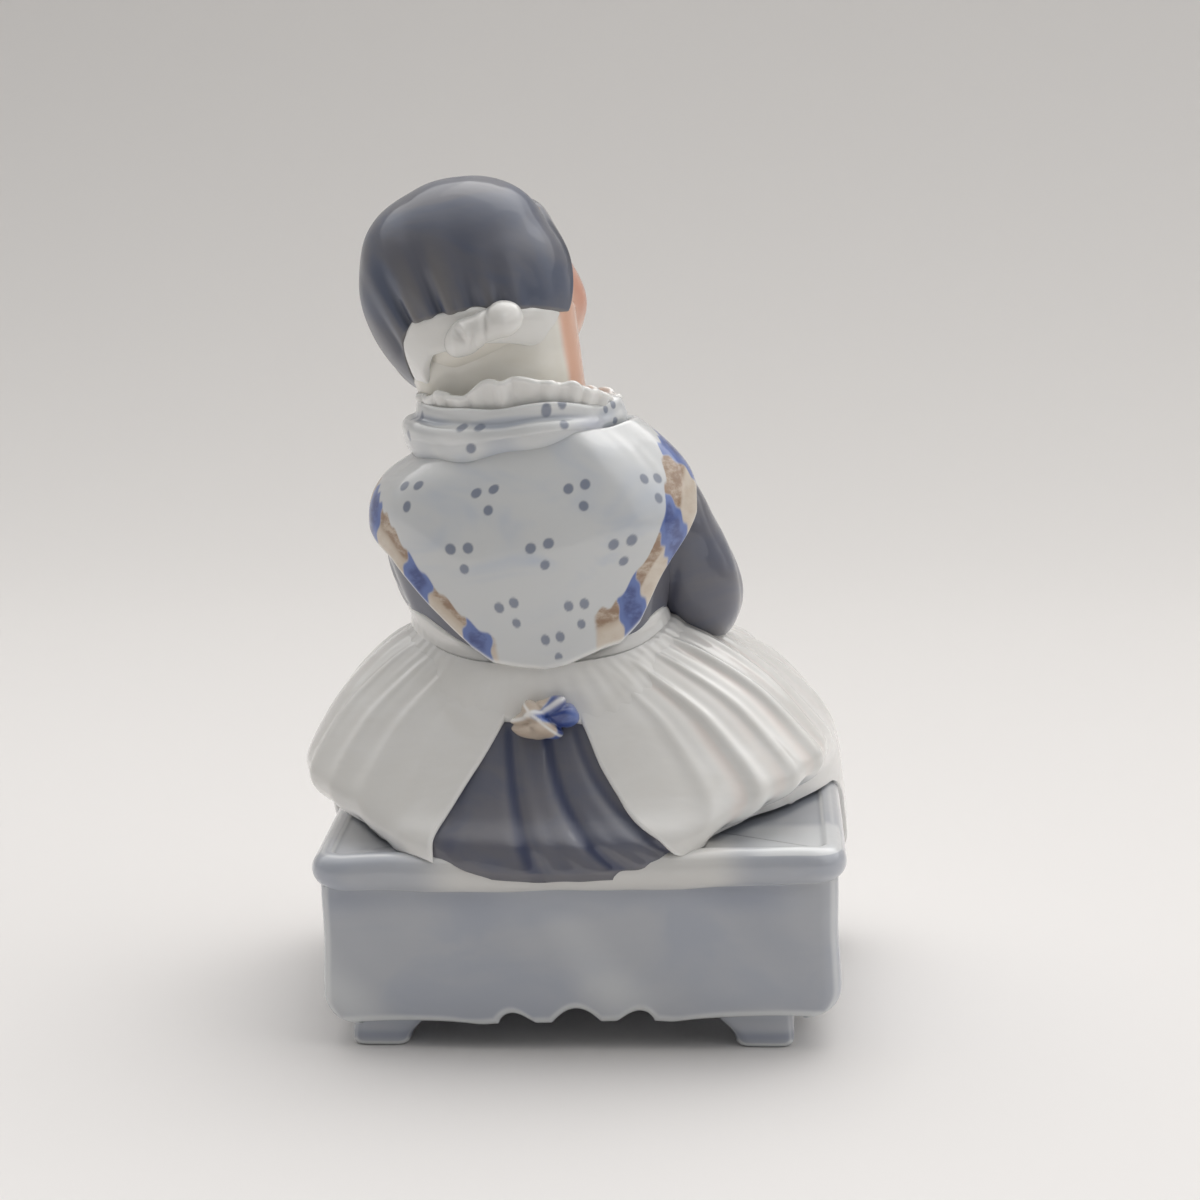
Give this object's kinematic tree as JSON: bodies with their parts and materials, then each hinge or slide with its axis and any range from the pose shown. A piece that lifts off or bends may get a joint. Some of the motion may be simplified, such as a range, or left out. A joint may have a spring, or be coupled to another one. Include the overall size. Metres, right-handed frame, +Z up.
{
  "type": "porcelain figurine",
  "caption": "Glazed porcelain figurine of a seated girl in bonnet, dotted kerchief and gathered apron on a small footed chest",
  "frame": {"origin": "Middle of the bounding box in plan, at the height of the surface that the feet stand on.", "axes": "+Z is up. +Y is the way the figure faces, so the pictured back faces -Y. +X is the figure's right, which is the right side of the back view."},
  "size_m": [0.0923, 0.0829, 0.1382],
  "materials": {
    "chest_blue": "pale blue-grey underglaze wash under a clear gloss glaze",
    "slate_blue": "slate blue underglaze, thinner on the crests and darker in the folds, clear gloss glaze",
    "apron_white": "white porcelain body under a clear gloss glaze",
    "kerchief_mist": "white porcelain with a cloudy pale blue wash, groups of three dots and cobalt and tan borders, clear gloss glaze",
    "flesh_tint": "flesh underglaze tint with flushed cheeks, clear gloss glaze",
    "shoe_dark": "near-black underglaze, clear gloss glaze"
  },
  "bodies": {
    "root": {"chest_box": "chest_blue", "chest_lid": "chest_blue", "chest_floor": "chest_blue", "foot_back_left": "chest_blue", "foot_back_right": "chest_blue", "foot_front_left": "chest_blue", "foot_front_right": "chest_blue", "skirt": "slate_blue", "bodice": "slate_blue", "sleeve_left": "slate_blue", "sleeve_right": "slate_blue", "bonnet": "slate_blue", "apron": "apron_white", "apron_band": "apron_white", "cuff_left": "apron_white", "cuff_right": "apron_white", "neck_frill": "apron_white", "neck": "apron_white", "bonnet_band": "apron_white", "bonnet_bow": "apron_white", "kerchief": "kerchief_mist", "kerchief_roll": "kerchief_mist", "kerchief_knot": "kerchief_mist", "head": "flesh_tint", "hand_left": "flesh_tint", "hand_right": "flesh_tint", "shoe_left": "shoe_dark", "shoe_right": "shoe_dark"}
  },
  "joints": []
}
